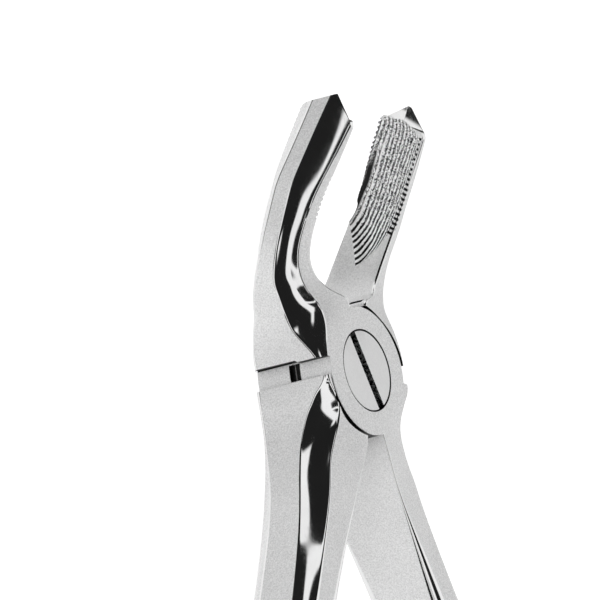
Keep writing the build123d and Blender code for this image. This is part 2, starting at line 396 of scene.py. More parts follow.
def bow(start, end, sagitta, count=24):
    # a shallow arc, bulging to the left of its way
    chord = end - start
    left = Vector((-chord.y, chord.x)).normalized()
    shares = [i / count for i in range(count + 1)]
    return [start + chord * t + left * 4 * sagitta * t * (1 - t) for t in shares]


def walk(points, distance):
    # the point this far along a line of points
    for a, b in zip(points, points[1:]):
        step = (b - a).length
        if distance <= step and step > 1e-9:
            return a + (b - a) * (distance / step)
        distance -= step
    return points[-1].copy()


def roundedRing(sides, radii, counts, turns=3):
    # a closed outline: each side is cut short at both ends and a small curve joins it to the next
    ring, tags = [], []
    lengths = [sum((b - a).length for a, b in zip(side, side[1:])) for side in sides]
    most = 0.4  # the share of a side that a cut may take
    for i, side in enumerate(sides):
        follow = (i + 1) % len(sides)
        cutStart = min(radii[i - 1], most * lengths[i])
        cutEnd = min(radii[i], most * lengths[i])
        kept = lengths[i] - cutStart - cutEnd
        for k in range(counts[i] + 1):
            ring.append(walk(side, cutStart + kept * k / counts[i]))
            tags.append(i if k < counts[i] else len(sides) + i)
        a, corner = ring[-1], side[-1]
        b = walk(sides[follow], min(radii[i], most * lengths[follow]))
        for k in range(1, turns):
            t = k / turns
            ring.append(a * (1 - t) ** 2 + corner * 2 * t * (1 - t) + b * t * t)
            tags.append(len(sides) + i)
    return ring, tags


def sidesOf(corners, bows):
    # straight sides from corner to corner, apart from the bowed ones
    pairs = zip(corners, corners[1:] + corners[:1])
    return [bow(a, b, bows[i]) if i in bows else [a, b] for i, (a, b) in enumerate(pairs)]


def ringMarks(tags, count, flute=2):
    # the flute and all the small rounded corners are polished
    return [satin if tag < count and tag != flute else polished for tag in tags]


def softEdge(radius, end, e, up=1):
    # the last points of a spun profile, with a small rounded edge
    return [(radius, end - up * e), (radius - 0.3 * e, end - up * 0.3 * e), (radius - e, end)]


def meshFrom(name, points, faces, marks=None, materials=None):
    mesh = bpy.data.meshes.new(name)
    mesh.from_pydata([tuple(p) for p in points], [], faces)
    for material in halfFinishes if materials is None else materials:
        mesh.materials.append(material)
    if marks:
        mesh.polygons.foreach_set("material_index", marks)
    shape = bmesh.new()
    shape.from_mesh(mesh)
    bmesh.ops.recalc_face_normals(shape, faces=shape.faces)
    shape.to_mesh(mesh)
    shape.free()
    thing = bpy.data.objects.new(name, mesh)
    scene.collection.objects.link(thing)
    return thing


def loftRings(name, rings, marks):
    # quads between rings of points, closed at both ends
    count = len(rings[0])
    points = [p for ring in rings for p in ring]
    faces, faceMarks = [], []
    for r in range(len(rings) - 1):
        for i in range(count):
            j = (i + 1) % count
            faces.append((r * count + i, r * count + j, (r + 1) * count + j, (r + 1) * count + i))
            faceMarks.append(marks[i])
    faces += [tuple(range(count)), tuple(range(len(points) - 1, len(points) - count - 1, -1))]
    return meshFrom(name, points, faces, faceMarks + [satin, satin])


def prism(name, outline, place, low, high, mark=satin, materials=None):
    # an outline drawn on a turned plane and pulled to a solid
    count = len(outline)
    points = [place @ Vector((x, y, z)) for z in (low, high) for x, y in outline]
    faces = [(i, (i + 1) % count, (i + 1) % count + count, i + count) for i in range(count)]
    faces += [tuple(range(count)), tuple(range(2 * count - 1, count - 1, -1))]
    return meshFrom(name, points, faces, [mark] * len(faces), materials)


def spun(name, profile, mark=satin, count=180, materials=None):
    # a profile of (radius, height) from the axis to the axis, turned about Z
    points = [Vector((0, 0, profile[0][1]))]
    inner = profile[1:-1]
    angles = [math.tau * i / count for i in range(count)]
    for radius, height in inner:
        points += [Vector((radius * math.cos(angle), radius * math.sin(angle), height)) for angle in angles]
    points.append(Vector((0, 0, profile[-1][1])))
    faces = [(0, 1 + (i + 1) % count, 1 + i) for i in range(count)]
    for r in range(len(inner) - 1):
        a, b = 1 + r * count, 1 + (r + 1) * count
        faces += [(a + i, a + (i + 1) % count, b + (i + 1) % count, b + i) for i in range(count)]
    a = 1 + (len(inner) - 1) * count
    faces += [(a + i, a + (i + 1) % count, len(points) - 1) for i in range(count)]
    return meshFrom(name, points, faces, [mark] * len(faces), materials)


def axes(origin, xDir, yDir):
    # a matrix that places a drawing plane
    x = Vector(xDir).normalized()
    z = x.cross(Vector(yDir)).normalized()
    y = z.cross(x)
    place = Matrix((x, y, z)).transposed().to_4x4()
    place.translation = Vector(origin)
    return place


def settle(thing):
    # the piece as its modifiers leave it, as a plain mesh
    graph = bpy.context.evaluated_depsgraph_get()
    graph.update()
    seen = thing.evaluated_get(graph)
    mesh = bpy.data.meshes.new_from_object(seen, preserve_all_data_layers=True, depsgraph=graph)
    thing.modifiers.clear()
    thing.data = mesh
    return thing


def combine(target, tools, operation="DIFFERENCE"):
    # cuts the tools out of a mesh, or joins them to it
    group = bpy.data.collections.new("tools")
    for tool in tools:
        scene.collection.objects.unlink(tool)
        group.objects.link(tool)
    scene.collection.children.link(group)
    cut = target.modifiers.new("cut", "BOOLEAN")
    cut.operation = operation
    cut.solver = "MANIFOLD"
    cut.operand_type = "COLLECTION"
    cut.collection = group
    settle(target)
    for tool in tools:
        bpy.data.objects.remove(tool)
    bpy.data.collections.remove(group)
    print("combined", target.name, len(target.data.polygons), "faces")
    return target


beak = {
    "length": 35.0,
    "rise": 12.2,
    "tilt": 34.0,
    "bladeWidth": 8.2,
    "edgeBreak": 0.35,
    "biteGap": 1.6,  # from the centre plane to the tip of a closed half
    "biteAngle": 13.8,
    "bendFrom": 12.0,
    "bend": 0.021,
    "gableAngle": 56.0,  # slope of the pointed tip
    "gableRound": 2.0,
    "ridgeLength": 2.4,
    "ridgeAngle": 10.0,
    "footInset": 0.2,
    "cornerSizes": (0.308, 0.14, 0.196, 0.14, 0.14, 0.14, 0.14),
    "sideSteps": (8, 5, 22, 6, 1, 6, 3),
    "rowSteps": 8,
    "evenPasses": 24,
}
scoop = {
    "start": 1.9,
    "deepest": 0.95,
    "across": 0.034,  # how fast the hollow gets shallower to both sides
    "shore": 2.4,  # width of the slope from the rim to the floor
    "lowerCorner": (15.8, -4.1),  # back from the tip, and across the blade
    "rootPoint": (21.7, 1.0),
    "upperEdge": 3.5,
    "upperRise": 0.4,
    "upperRiseAt": (10.0, 16.0),
    "lowerEdge": -4.25,
    "tipRound": 0.09,
    "tipAcross": -0.5,
    "groovePitch": 0.6,
    "grooveDepth": 0.15,
    "grooveFade": 0.35,
    "waver": 0.05,
    "waves": ((1.0, 0.8, 1.1, 0.0), (0.5, 2.1, -1.7, 1.0)),  # strength, pace along and across, shift
    "lineSweep": 0.3,
    "sweep": 0.0012,
    "sweepFrom": 8.0,
    "gridFrom": 0.4,
    "gridLength": 23.6,
    "gridLow": -5.6,
    "gridHigh": 5.0,
    "gridCounts": (130, 140),
    "gridReach": 9.0,
    "faceNear": 0.6,
}
teeth = {
    "pitch": 0.66,
    "start": 3.2,
    "thick": 0.34,
    "depth": 0.3,
    "upper": {"count": 20, "rim": 3.5, "length": 0.42, "growth": 0.034, "sweep": 0.2},
    "lower": {"count": 15, "rim": -4.0, "length": 0.6, "growth": 0.0, "sweep": 0.0},
}

tilt = math.radians(beak["tilt"])
tipAxis = Vector((0, math.cos(tilt), math.sin(tilt)))
tipUp = Vector((0, -math.sin(tilt), math.cos(tilt)))
tipPoint = Vector((-beak["biteGap"], beak["length"], joint["mid"] + beak["rise"]))


def bladeRow(back, width, side, edge, drop, high, low, dish):
    top = tipPoint - tipAxis * back + tipUp * width / 2
    inner = beak["biteGap"] + back * math.tan(math.radians(beak["biteAngle"]))
    return (
        top.y, top.z, beak["tilt"], width, inner, inner + side, inner + edge, drop, high, low,
        inner + beak["footInset"], dish,
    )


def faceGap(back):
    bend = max(0, back - beak["bendFrom"]) ** 2 * beak["bend"]
    return beak["biteGap"] + back * math.tan(math.radians(beak["biteAngle"])) - bend


# y, top, tilt, width, inner, outer, edge, drop, high, low, low edge, flute depth
full = joint["height"]
step = joint["stepGap"]
beakRows = [
    (0.4, full, 0, full, step, 8.95, 8.85, 0, 0.5, full - 0.2, 8.5, 0.02),
    (2.9, full, 0, full, step, 8.75, 8.5, 0, 1.5, full - 0.2, 8.3, 0.12),
    (4.8, full, 0, full, step, 8.5, 7.9, 0, 2.7, full - 0.2, 8.0, 0.3),
    (6.5, full, 0, full, step, 8.3, 7.05, 0.05, 4.0, full - 0.4, 7.2, 0.45),
    (8.2, full, 0, full, step, 8.25, 6.4, 0.4, 4.6, full - 0.9, 5.6, 0.55),
    (9.6, full - 0.05, 0, full - 0.15, step, 8.4, 6.1, 0.85, 4.7, full - 1.6, 4.6, 0.55),
    (10.8, full - 0.5, 2, 10.2, 2.6, 8.6, 6.5, 0.95, 4.3, 8.8, 4.4, 0.5),
    (12.0, full - 1.0, 5, 9.0, 3.5, 8.85, 6.95, 0.75, 3.8, 7.8, 4.6, 0.5),
    (13.2, full - 1.27, 9, 8.1, 4.3, 9.0, 7.15, 0.65, 3.6, 6.8, 5.2, 0.5),
    (15.0, full - 1.1, 16, 7.8, 5.1, 9.15, 7.45, 0.65, 3.0, 5.9, 5.4, 0.5),
    (17.0, full - 0.35, 23, 7.5, 5.33, 9.05, 7.38, 0.72, 2.85, 5.5, 5.6, 0.5),
    (19.0, full + 0.7, 29, 7.45, 5.25, 8.65, 7.2, 0.65, 2.9, 5.55, 5.5, 0.5),
    (21.0, full + 1.9, 32, 7.55, 4.9, 8.05, 6.8, 0.58, 3.2, 5.87, 5.1, 0.48),
    bladeRow(12, 7.75, 3.0, 1.7, 0.6, 3.5, 6.1, 0.45),
    bladeRow(9, 8.0, 2.65, 1.45, 0.45, 3.7, 6.25, 0.4),
    bladeRow(5, 8.2, 1.9, 1.05, 0.35, 4.1, 6.6, 0.3),
    bladeRow(0, 8.2, 0.75, 0.45, 0.25, 4.4, 7.1, 0.08),
]


def beakRing(row):
    y, z, lean, width, inner, outer, edge, drop, high, low, lowEdge, dish = row
    rim = beak["edgeBreak"]
    corners = [Vector(p) for p in (
        (inner, -width), (inner, 0), (edge, -drop), (outer, -high),
        (outer, rim - low), (outer - rim, -low), (lowEdge, -width),
    )]
    ring, tags = roundedRing(sidesOf(corners, {2: -dish}), beak["cornerSizes"], beak["sideSteps"])
    lean = math.radians(lean)
    points = [Vector((-p.x, y - p.y * math.sin(lean), z + p.y * math.cos(lean))) for p in ring]
    return points, ringMarks(tags, len(corners))


def beakLoft():
    rings = [beakRing(row) for row in calmRows(smoothRows(beakRows, beak["rowSteps"]), beak["evenPasses"])]
    return loftRings("front", [points for points, marks in rings], rings[0][1])


def swept(back):
    # the hollow and its grooves sweep to the lower edge towards the root
    return scoop["sweep"] * max(0.0, back - scoop["sweepFrom"]) ** 3


def grooveLine(back, v):
    # the grooves run along the blade with a slight waver
    waver = sum(share * math.sin(back * along + v * across + shift) for share, along, across, shift in scoop["waves"])
    return v + scoop["lineSweep"] * swept(back) + scoop["waver"] * waver


def grooveWave(back, v):
    # 0 on a land and 1 in a groove
    return 0.5 - 0.5 * math.cos(math.tau * grooveLine(back, v) / scoop["groovePitch"])


def scoopDepth(back, v):
    # below the face inside the hollow's outline, above it outside
    (a, b), (c, d) = scoop["lowerCorner"], scoop["rootPoint"]
    root = ((c - back) * (d - b) - (d - v) * (c - a)) / math.hypot(c - a, d - b)
    start, end = scoop["upperRiseAt"]
    risen = max(0.0, min(1.0, (back - start) / (end - start)))
    rim = scoop["upperEdge"] + scoop["upperRise"] * risen - (v + swept(back))
    tip = back - scoop["start"] - scoop["tipRound"] * (v - scoop["tipAcross"]) ** 2
    inside = min(root, rim * 1.3, tip * 1.6, v - scoop["lowerEdge"])  # the rim and the tip are steeper
    if inside < 0:
        return inside
    share = 1 - min(1.0, inside / scoop["shore"])
    smooth = (scoop["deepest"] - scoop["across"] * v * v) * (1 - share * share)
    return smooth + scoop["grooveDepth"] * grooveWave(back, v) * min(1.0, inside / scoop["grooveFade"])


def scoopTool(front):
    # a fine grid over the biting face, sunk where the hollow is
    shape = BVHTree.FromObject(front, bpy.context.evaluated_depsgraph_get())
    along, across = scoop["gridCounts"]
    low, high, reach = scoop["gridLow"], scoop["gridHigh"], scoop["gridReach"]
    backs = [scoop["gridFrom"] + scoop["gridLength"] * i / along for i in range(along + 1)]
    levels = [low + (high - low) * k / across for k in range(across + 1)]
    points, faces = [], []
    for back in backs:
        for v in levels:
            level = tipPoint - tipAxis * back + tipUp * v
            seen = shape.ray_cast(Vector((0.5, level.y, level.z)), Vector((-1, 0, 0)), reach)[0]
            x = seen.x if seen and abs(seen.x + faceGap(back)) < scoop["faceNear"] else -faceGap(back)
            points.append(Vector((x - scoopDepth(back, v), level.y, level.z)))
    wide = across + 1
    top = len(points)
    for back in backs:
        for v in (low, high):
            level = tipPoint - tipAxis * back + tipUp * v
            points.append(Vector((reach, level.y, level.z)))
    for i in range(along):
        here, there = i * wide, (i + 1) * wide
        for k in range(across):
            faces.append((here + k, here + k + 1, there + k + 1, there + k))
        a, b = top + 2 * i, top + 2 * (i + 1)
        faces += [(a, b, b + 1, a + 1), (here, there, b, a), (here + across, a + 1, b + 1, there + across)]
    last, far = along * wide, top + 2 * along
    faces += [(*range(wide), top + 1, top), (*range(last, last + wide), far + 1, far)]
    return meshFrom("scoopTool", points, faces, [grooved] * len(faces))


def gableTool(edge):
    half = beak["bladeWidth"] / 2 + 0.05  # the cut's edge stays clear of the blade's own
    lean, turn = math.radians(beak["gableAngle"]), beak["gableRound"]
    reach, short = half / math.tan(lean), turn * math.tan(lean / 2)
    start = Vector((short * math.cos(lean) - reach, half - short * math.sin(lean)))
    centre = Vector((-reach - short, half - turn))
    sweep = math.atan2(start.y - centre.y, start.x - centre.x)
    steps = 12
    angles = [sweep + (math.pi / 2 - sweep) * k / steps for k in range(steps + 1)]
    arc = [centre + turn * Vector((math.cos(angle), math.sin(angle))) for angle in angles]
    outline = [Vector(p) for p in ((1, 0), (0, 0), *arc, (centre.x, 2 * half), (1, 2 * half))]
    place = axes(tipPoint, tipAxis, tipUp)
    kind = polished if edge == 1 else satin
    return prism("gableTool", [(p.x, edge * p.y) for p in outline], place, -beyond, beyond, kind)


class Tree(Nodes):
    # a Geometry Nodes tree with named inputs
    def __init__(self, name, **inputs):
        super().__init__(bpy.data.node_groups.new(name, "GeometryNodeTree"))
        self.tree.interface.new_socket("Geometry", in_out="INPUT", socket_type="NodeSocketGeometry")
        self.tree.interface.new_socket("Geometry", in_out="OUTPUT", socket_type="NodeSocketGeometry")
        self.ids = {}
        for key, value in inputs.items():
            kind = "NodeSocketInt" if key == "Count" else "NodeSocketFloat"
            socket = self.tree.interface.new_socket(key, in_out="INPUT", socket_type=kind)
            socket.default_value = value
            self.ids[key] = socket.identifier
        self.start = self.tree.nodes.new("NodeGroupInput")
        self.end = self.tree.nodes.new("NodeGroupOutput")

    def given(self, name):
        return Value(self.tree, self.start.outputs[name])

    def close(self, geometry, material):
        real = self.add("GeometryNodeRealizeInstances", Geometry=geometry)
        done = self.add("GeometryNodeSetMaterial", Geometry=real, Material=material)
        self.tree.links.new(done.socket, self.end.inputs[0])

    def grow(self, thing, **changed):
        # run the tree on an object and keep the result as a plain mesh
        grown = thing.modifiers.new("grow", "NODES")
        grown.node_group = self.tree
        for key, value in changed.items():
            grown[self.ids[key]] = value
        return settle(thing)


def asCutter(row, mark):
    # the finishes of a half, so that the cut's faces get theirs
    row.data.materials.clear()
    for material in halfFinishes:
        row.data.materials.append(material)
    row.data.polygons.foreach_set("material_index", [mark] * len(row.data.polygons))
    return row


def notchTree():
    # a row of short notches that get longer from point to point, in the near-black finish of painted shade
    tree = Tree("notches", Thickness=0.3, Depth=0.6, Length=0.35, Growth=0.03)
    longer = tree.add("GeometryNodeInputIndex") * tree.given("Growth") + tree.given("Length")
    size = tree.add("ShaderNodeCombineXYZ", X=tree.given("Thickness"), Y=tree.given("Depth"), Z=longer)
    box = tree.add("GeometryNodeMeshCube")
    placed = tree.add("GeometryNodeInstanceOnPoints", Points=tree.given("Geometry"), Instance=box, Scale=size)
    tree.close(placed, halfFinishes[paintedShade])
    return tree


def teethTool(tree, edge):
    # the notches are made flat, in blade lengths, then stood on the edge of the hollow
    backs = [teeth["start"] + k * teeth["pitch"] for k in range(edge["count"])]
    row = meshFrom("teethTool", [(back, 0, 0) for back in backs], [], None, [])
    tree.grow(row, Thickness=teeth["thick"], Depth=2 * teeth["depth"], Length=edge["length"], Growth=edge["growth"])
    for point in row.data.vertices:
        back, out, v = point.co
        nearest = min(backs, key=lambda b: abs(b - back))
        rim = edge["rim"] - edge["sweep"] * swept(nearest)
        sunk = Vector((beak["biteGap"] - faceGap(nearest) + out, 0, 0))
        point.co = tipPoint - tipAxis * back + tipUp * (rim + v) + sunk
    return asCutter(row, paintedShade)


def ridgeTool(edge):
    # slopes the outer end of a tip away from its middle
    bite = math.radians(beak["biteAngle"])
    along = tipAxis * math.cos(bite) + Vector((math.sin(bite), 0, 0))
    wide, length = beak["bladeWidth"], beak["ridgeLength"]
    drop = wide * math.tan(math.radians(beak["ridgeAngle"]))
    outward = (along * edge).cross(tipUp * edge)
    place = Matrix((tipUp * edge, outward, along)).transposed().to_4x4()
    place.translation = tipPoint - along * length
    return prism("ridgeTool", [(0, 0), (wide, -drop), (wide, 1), (0, 1)], place, 0, length + 1, polished)


def shoulderTool(front):
    # seen from above, the opening stops of a closed half lie on one line through the pivot
    place = Matrix.Rotation(-math.radians(joint["shoulderAngle"]), 4, "Z")
    wide = 2 * beyond
    low, high = (-wide, 0) if front else (0, wide)
    outline = [(-wide, low), (wide, low), (wide, high), (-wide, high)]
    return prism("shoulderTool", outline, place, -beyond, wide)


handle = {
    "height": 10.0,
    "width": 6.5,
    "length": 140.0,
    "spread": 14.3,  # how far out the grip's inner face bows
    "gripStart": 38.0,
    "bevelWidth": 2.0,
    "bevelHeight": 2.3,
    "flatBow": -0.6,
    "innerRound": 1.8,
    "edgeRounding": 0.16,
    "topRounding": 0.224,
    "sideSteps": (8, 6, 20, 6, 14, 6),
    "rowSteps": 8,
    "evenPasses": 20,
}
knurl = {
    "start": 52.0,
    "end": 122.0,
    "pitch": 1.1,
    "width": 0.85,
    "depth": 0.4,
    "length": 12.0,
    "lip": 0.1,
}


def gripRow(y, inner, inset):
    # a row of the grip, drawn in by the inset where the handle's end is rounded
    outer, tall = inner + handle["width"] - inset, handle["height"]
    edge = outer - handle["bevelWidth"] + inset / 2
    bevel = handle["bevelHeight"] + inset / 2
    return (
        y, inner + inset, outer, edge, edge, tall - inset, 0, tall - bevel, bevel, inset,
        inset / 4 + handle["flatBow"], handle["innerRound"] - inset / 2,
    )


# y, inner, outer, edge, low edge, top, drop, high, low, bottom, flute depth, corner
handleRows = [
    (-0.5, step, 9.2, 9.1, 9.0, full, 0, full - 0.4, 0.4, 0, 0.02, 0.1),
    (-2.9, step, 9.0, 8.9, 8.7, full, 0, full - 0.4, 0.55, 0, 0.02, 0.1),
    (-4.0, step, 8.85, 8.5, 8.4, full, 0, 10.3, 0.6, 0, 0.1, 0.1),
    (-5.0, step, 8.7, 7.3, 8.2, full, 0, 9.2, 0.6, 0, 0.3, 0.1),
    (-6.0, step, 8.5, 6.5, 7.9, full, 0.1, 8.5, 0.6, 0, 0.45, 0.1),
    (-7.0, step, 8.3, 5.95, 7.7, full, 0.4, 7.7, 0.65, 0, 0.5, 0.1),
    (-8.5, step, 8.1, 5.75, 7.4, full, 0.8, 7.05, 0.7, 0, 0.55, 0.1),
    (-10.5, 0.35, 7.95, 6.15, 7.2, full - 0.05, 1.15, 6.35, 0.8, 0, 0.5, 0.1),
    (-12.5, 0.8, 8.1, 6.6, 7.2, full - 0.3, 1.15, 6.15, 1.0, 0, 0.5, 0.12),
    (-15, 1.4, 8.4, 7.1, 7.4, full - 0.6, 0.75, 6.2, 1.4, 0, 0.45, 0.2),
    (-18, 2.2, 8.95, 7.35, 7.7, full - 0.8, 0.5, 6.5, 1.8, 0, 0.35, 0.3),
    (-24, 3.9, 10.4, 8.6, 8.7, full - 1.0, 0.3, 7.2, 2.3, 0, 0.1, 0.8),
    gripRow(-handle["gripStart"], 7.5, 0),
    gripRow(-0.415 * handle["length"], handle["spread"] - 2.1, 0),
    gripRow(-0.57 * handle["length"], handle["spread"], 0),
    gripRow(-0.74 * handle["length"], handle["spread"] - 1.1, 0),
    gripRow(-0.885 * handle["length"], handle["spread"] - 3.7, 0),
    gripRow(4 - handle["length"], handle["spread"] - 5.1, 0),
    gripRow(1 - handle["length"], handle["spread"] - 5.3, 0.8),
    gripRow(-handle["length"], handle["spread"] - 5.3, 2.2),
]


def handleRing(row):
    y, inner, outer, edge, lowEdge, top, drop, high, low, bottom, dish, corner = row
    corners = [Vector(p) for p in (
        (inner, bottom), (inner, top), (edge, top - drop), (outer, high), (outer, low), (lowEdge, bottom),
    )]
    r = handle["edgeRounding"]
    inside = 0.9 * max(corner, r)
    sides = sidesOf(corners, {2: -dish, 4: -dish * (outer - lowEdge) / 2})
    radii = [inside, handle["topRounding"], r, r, r, inside]
    ring, tags = roundedRing(sides, radii, handle["sideSteps"], turns=5)
    return [Vector((p.x, y, p.y)) for p in ring], ringMarks(tags, len(corners))


def handleLoft():
    rings = [handleRing(row) for row in calmRows(smoothRows(handleRows, handle["rowSteps"]), handle["evenPasses"])]
    return loftRings("rear", [points for points, marks in rings], rings[0][1])


def outerAt(y):
    # how far out the grip's face is at this place along the handle
    for before, start, end, after in zip(handleRows, handleRows[1:], handleRows[2:], handleRows[3:]):
        if start[0] >= y >= end[0]:
            share = (y - start[0]) / (end[0] - start[0])
            return between(before[2], start[2], end[2], after[2], share)


def knurlTree():
    # a row of leaning V-shaped cutters: three-sided prisms, 1.5 high and the root of 3 wide before they are sized
    tree = Tree("knurl", Count=40, Spacing=1.5, Turn=0.8, Width=0.85, Depth=0.4, Length=12)
    step = tree.add("ShaderNodeCombineXYZ", Y=tree.given("Spacing"))
    line = tree.add("GeometryNodeMeshLine", Count=tree.given("Count"), Offset=step)
    deep = tree.given("Depth") + knurl["lip"]
    wide = deep / tree.given("Depth") * tree.given("Width") * (1 / math.sqrt(3))
    size = tree.add("ShaderNodeCombineXYZ", X=deep * (1 / 1.5), Y=wide, Z=tree.given("Length"))
    lean = tree.add("ShaderNodeCombineXYZ", X=tree.given("Turn"), Z=math.pi)
    cutter = tree.add("GeometryNodeMeshCylinder", Vertices=3, Radius=1, Depth=1)
    placed = tree.add("GeometryNodeInstanceOnPoints", Points=line, Instance=cutter, Scale=size, Rotation=lean)
    tree.close(placed, halfFinishes[bright])
    return tree


def knurlTool(tree, side):
    # the cutters are made flat, then laid along the outer face of the grip
    spacing = knurl["pitch"] * math.sqrt(2)
    row = meshFrom("knurlTool", [(0, 0, 0)], [], None, [])
    tree.grow(
        row, Count=math.floor((knurl["end"] - knurl["start"]) / spacing), Spacing=spacing, Turn=side * math.pi / 4,
        Width=knurl["width"], Depth=knurl["depth"], Length=knurl["length"],
    )
    sink = (knurl["depth"] - 2 * knurl["lip"]) / 3
    for point in row.data.vertices:
        out, along, across = point.co
        y = -knurl["start"] - along
        point.co = (outerAt(y) + out - sink, y, handle["height"] / 2 + across)
    row.data.flip_normals()
    return asCutter(row, bright)


def plateTools(side):
    # the plate is left out where its own half already fills it
    turn = Matrix.Rotation(side * math.radians(joint["restHalfAngle"]), 4, "Z")
    lap, near, reach = joint["plateLap"], joint["discRadius"] / 2, 2 * joint["discRadius"]
    tools = []
    for end in (1, -1):
        across, along = -side * end, end
        outline = [(across * lap, along * near), (across * lap, along * reach)]
        outline += [(across * reach, along * reach), (across * reach, along * near)]
        tools.append(prism("plateTool", outline, turn, -1, beyond))
    return tools


def disc(low, high, roundTop):
    # a joint plate with a softened edge, with painted shade on its rim where the rim only shows in a gap
    r, e = joint["discRadius"], joint["discEdge"]
    foot = [(r, low)] if roundTop else softEdge(r, low, e, -1)[::-1]
    top = softEdge(r, high, e) if roundTop else [(r, high)]
    plate = spun("disc", [(0, low), *foot, *top, (0, high)])
    for side in plate.data.polygons:
        x, y = side.center.xy
        rim = math.hypot(x, y) > r - rimBand and abs(side.normal.z) < 0.3
        if rim and abs(y) > joint["shadedRimFrom"] * abs(x):
            side.material_index = paintedShade
    return plate


recess = {
    "across": (-9.0, -7.9),
    "along": (-0.9, 1.3),
    "lap": 0.1,
    "upperHeight": 1.0,
    "lowerHeight": 0.65,
}
rootGroove = {
    "centre": (2.75, 9.85, 0),
    "way": (0.92, 0.4, 0),
    "halfLength": 0.5,
    "out": -0.45,
    "in": 0.6,
    "low": 8.2,
    "high": 10.3,
}
stopGroove = {
    "outer": 12.0,
    "plateLap": 0.5,
    "foot": -0.5,
    "thinning": (0.8, 1.2),
    "thickness": (0.5, 0.42, 0.16, 0.14),
}


def recessTools(side):
    # small recesses in the rims of the plates, between the opening stops, painted dark as shade
    mid, lap = joint["mid"], recess["lap"]
    low, high = (mid - lap, mid + recess["upperHeight"]) if side == 1 else (mid - recess["lowerHeight"], mid + lap)
    (outer, inner), (back, front) = recess["across"], recess["along"]
    corners = ((outer, back), (inner, back), (inner, front), (outer, front))
    outlines = [[(end * x, end * y) for x, y in corners] for end in (1, -1)]
    return [prism("recessTool", outline, Matrix(), low, high, paintedShade) for outline in outlines]


def rootGrooveTool():
    # a short groove in the root of the lower half's beak, above the other plate, painted dark as shade
    x, y, z = rootGroove["way"]
    place = axes(rootGroove["centre"], (x, y, z), (-y, x, z))
    half, out, inward = rootGroove["halfLength"], rootGroove["out"], rootGroove["in"]
    outline = [(-half, out), (half, out), (half, inward), (-half, inward)]
    return prism("rootGrooveTool", outline, place, rootGroove["low"], rootGroove["high"], paintedShade)


def stopGrooveTool():
    # a shallow groove along the foot of the front opening stop, thinner above, painted dark as shade
    turn = Matrix.Rotation(-math.radians(joint["shoulderAngle"]), 4, "Z")
    near, far, foot = joint["discRadius"] - stopGroove["plateLap"], stopGroove["outer"], stopGroove["foot"]
    start, end = stopGroove["thinning"]
    heights = (-1, joint["mid"] + start, joint["mid"] + end, joint["height"] + 1)
    points = []
    for z, thick in zip(heights, stopGroove["thickness"]):
        corners = ((-far, foot), (-near, foot), (-near, thick), (-far, thick))
        points += [turn @ Vector((x, y, z)) for x, y in corners]
    faces = [(3, 2, 1, 0), (12, 13, 14, 15)]
    for k in (0, 4, 8):
        faces += [(k + i, k + (i + 1) % 4, k + (i + 1) % 4 + 4, k + i + 4) for i in range(4)]
    return meshFrom("stopGrooveTool", points, faces, [paintedShade] * len(faces))


screw = {
    "headRadius": 5.2,
    "headDepth": 2.6,
    "headRecess": 0.04,
    "headGap": 0.22,
    "shankRadius": 3.1,
    "shankGap": 0.05,
    "threadRadius": 2.4,
    "endBevel": 0.3,
    "slotWidth": 1.35,
    "slotDepth": 1.1,
    "slotTurn": 116.0,
    "edge": 0.05,
    "sides": 160,
}


def cylinder(radius, low, high, mark):
    return spun("cylinder", [(0, low), (radius, low), (radius, high), (0, high)], mark)


def makeClosedParts():
    front = beakLoft()
    combine(front, [gableTool(1), gableTool(-1), shoulderTool(True)])
    combine(front, [stopGrooveTool()])
    combine(front, [scoopTool(front)])
    notches = notchTree()
    combine(front, [teethTool(notches, teeth["upper"]), teethTool(notches, teeth["lower"])])
    for edge in (1, -1):
        combine(front, [ridgeTool(edge)])
    rear = combine(handleLoft(), [shoulderTool(False)])
    grooves = knurlTree()
    for side in (1, -1):
        combine(rear, [knurlTool(grooves, side)])
    return combine(front, [rear], "UNION")


def markBlade(half, side):
    # each point's place on the closed blade, for the pattern of the hollow
    closing = Matrix.Rotation(-math.radians(joint["restHalfAngle"]), 4, "Z")
    marks = half.data.attributes.new("blade", "FLOAT_VECTOR", "POINT")
    values = []
    for point in half.data.vertices:
        way = tipPoint - closing @ Vector((side * point.co.x, point.co.y, point.co.z))
        back, v = way.dot(tipAxis), -way.dot(tipUp)
        values += [back, grooveLine(back, v), grooveWave(back, v)]
    marks.data.foreach_set("vector", values)


def makeHalf(name, side, closed):
    half = bpy.data.objects.new(name, closed.data.copy())
    scene.collection.objects.link(half)
    half.data.transform(Matrix.Rotation(math.radians(joint["restHalfAngle"]), 4, "Z"))
    mid, gap, tall = joint["mid"], joint["plateGap"] / 2, joint["height"]
    pocket = joint["discRadius"] + joint["discGap"]
    # the pockets' walls take the painted shade finish
    if side == 1:
        plate = disc(mid + gap, tall, True)
        combine(half, [cylinder(pocket, -1, mid + gap, paintedShade)])
    else:
        half.data.transform(Matrix.Scale(-1, 4, (1, 0, 0)))
        half.data.flip_normals()
        plate = disc(0, mid - gap, False)
        combine(half, [cylinder(pocket, mid - gap, tall + 1, paintedShade)])
    combine(plate, plateTools(side))
    combine(half, [plate], "UNION")
    if side == 1:
        shank, head = screw["shankRadius"] + screw["shankGap"], screw["headRadius"] + screw["headGap"]
        seat = tall - screw["headDepth"]
        bore = [(0, -1), (shank, -1), (shank, seat), (head, seat), (head, tall + 1), (0, tall + 1)]
        # the bore's walls take the painted shade finish
        combine(half, [spun("bore", bore, paintedShade)])
        combine(half, recessTools(side))
    else:
        combine(half, [cylinder(screw["threadRadius"], -1, tall + 1, bright)])
        combine(half, [*recessTools(side), rootGrooveTool()])
    markBlade(half, side)
    return half


closedHalf = makeClosedParts()
upper = makeHalf("upperForceps", 1, closedHalf)
lower = makeHalf("lowerForceps", -1, closedHalf)
bpy.data.objects.remove(closedHalf)
print("halves made")


sharpAngle = 28.0


